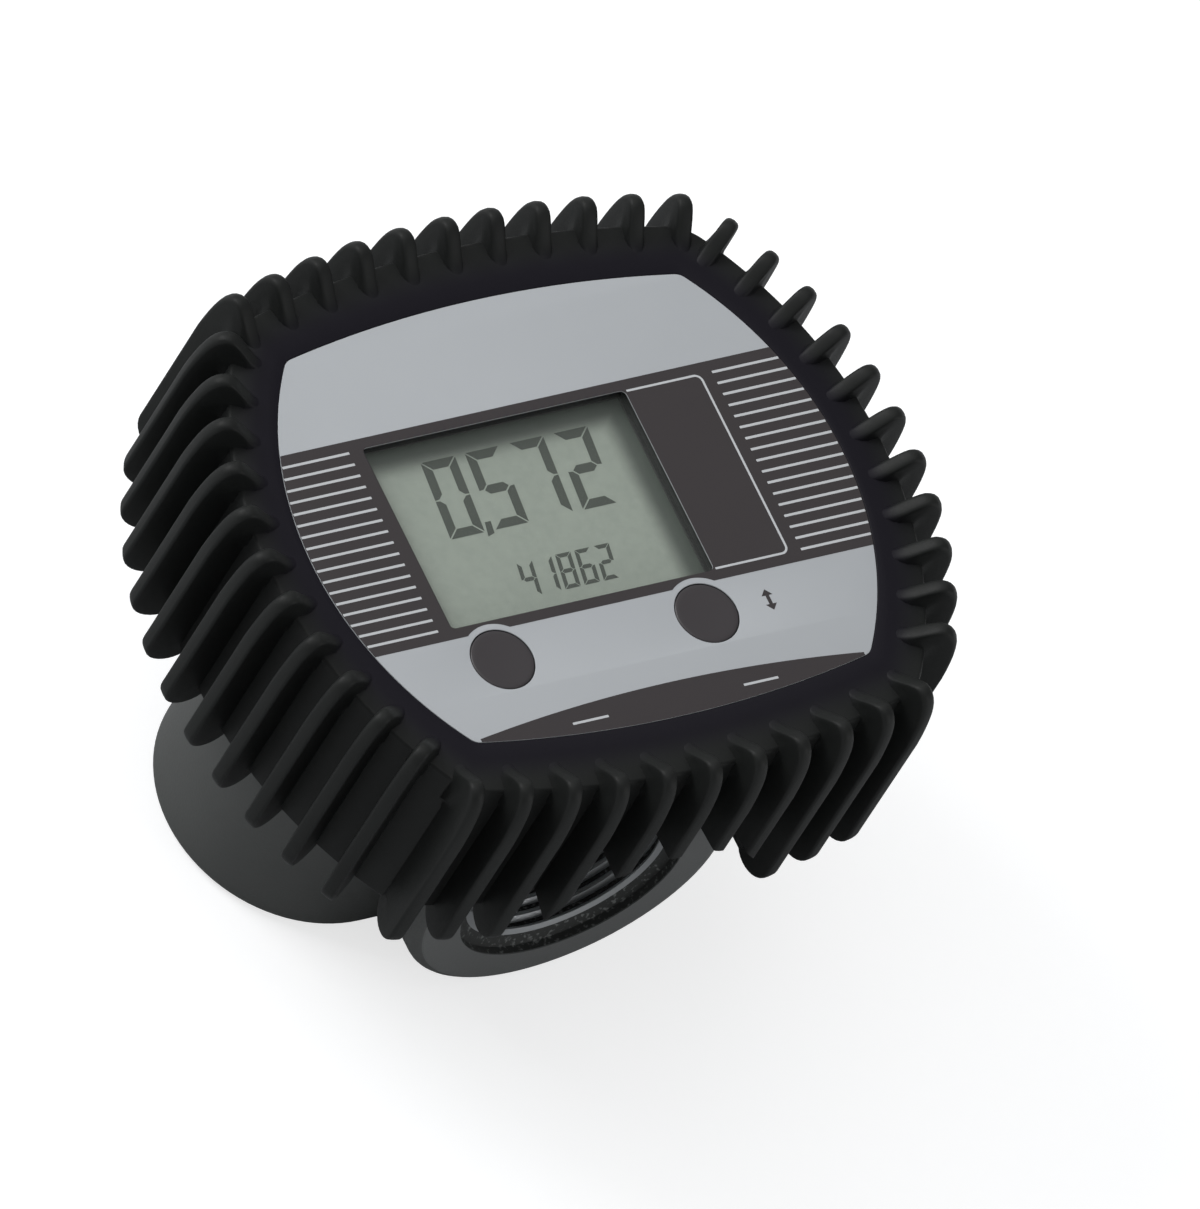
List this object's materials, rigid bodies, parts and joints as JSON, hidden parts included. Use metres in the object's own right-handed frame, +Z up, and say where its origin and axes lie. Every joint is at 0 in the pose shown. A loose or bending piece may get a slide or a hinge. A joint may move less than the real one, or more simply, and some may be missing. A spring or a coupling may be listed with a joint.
{
  "type": "oval gear flow meter",
  "caption": "In-line oval gear flow meter: cast body with threaded ports and meshing gears inside, electronic display face with push buttons in a finned rubber boot.",
  "frame": {"origin": "centre of the bounding box's underside, on the ground under the middle of the display", "axes": "+Z up, out of the display face; +Y to the top of the display, along the flow line; +X to the display's right"},
  "size_m": [0.1168, 0.103, 0.0784],
  "materials": {
    "boot_rubber": "matte moulded rubber",
    "label_film": "printed satin film",
    "casing_plastic": "moulded, fine grain",
    "window_clear": "clear, polished",
    "seal_rubber": "moulded",
    "lcd_glass": "grey-green liquid crystal",
    "holder_plastic": "moulded",
    "strip_rubber": "striped elastomer",
    "board_laminate": "solder mask",
    "chip_epoxy": "moulded",
    "screw_steel": "zinc plated",
    "button_plastic": "moulded, slightly glossy",
    "reed_glass": "glass capsule",
    "holder_black": "moulded",
    "contact_nickel": "nickel plated",
    "cell_wrap": "shrink sleeve",
    "cover_aluminium": "machined",
    "body_paint": "fine-textured powder coat on cast aluminium",
    "shaft_steel": "ground",
    "washer_polymer": "moulded",
    "gear_polymer": "moulded",
    "bush_carbon": "moulded carbon",
    "magnet_nickel": "nickel plated",
    "strainer_steel": "perforated sheet",
    "ring_plastic": "moulded"
  },
  "bodies": {
    "meter": {"rubber_boot": "boot_rubber", "face_label": "label_film", "front_cover": "casing_plastic", "display_window": "window_clear", "window_gasket": "seal_rubber", "lcd_panel": "lcd_glass", "lcd_holder": "holder_plastic", "contact_strips": "strip_rubber", "circuit_board": "board_laminate", "board_chips": "chip_epoxy", "board_screws": "screw_steel", "button_switches": "chip_epoxy", "reed_switches": "reed_glass", "battery_holder": "holder_black", "battery_contacts": "contact_nickel", "batteries": "cell_wrap", "housing_seal": "seal_rubber", "display_housing": "casing_plastic", "front_cover_screws": "screw_steel", "housing_screws": "screw_steel", "chamber_cover": "cover_aluminium", "cover_screws": "screw_steel", "cover_seal": "seal_rubber", "meter_body": "body_paint", "gear_shafts": "shaft_steel", "thrust_washers": "washer_polymer", "inlet_strainer": "strainer_steel", "strainer_ring": "ring_plastic"},
    "reset_button": {"reset_button": "button_plastic"},
    "rate_button": {"rate_button": "button_plastic"},
    "left_gear": {"left_gear": "gear_polymer", "left_gear_bush": "bush_carbon", "left_gear_magnets": "magnet_nickel"},
    "right_gear": {"right_gear": "gear_polymer", "right_gear_bush": "bush_carbon", "right_gear_magnets": "magnet_nickel"}
  },
  "joints": [
    {"name": "reset_press", "type": "slide", "parent": "meter", "child": "reset_button", "axis": [0, 0, -1], "range_m": [0, 0.0005], "stiffness_N_per_m": 900},
    {"name": "rate_press", "type": "slide", "parent": "meter", "child": "rate_button", "axis": [0, 0, -1], "range_m": [0, 0.0005], "stiffness_N_per_m": 900},
    {"name": "left_gear_spin", "type": "hinge", "parent": "meter", "child": "left_gear", "pos_m": [-0.0155, 0, 0.0295], "axis": [0, 0, 1], "continuous": true},
    {"name": "right_gear_spin", "type": "hinge", "parent": "meter", "child": "right_gear", "pos_m": [0.0155, 0, 0.0295], "axis": [0, 0, 1], "continuous": true}
  ],
  "couplings": [
    {"joint": "right_gear_spin", "follows": "left_gear_spin", "ratio": -1}
  ]
}
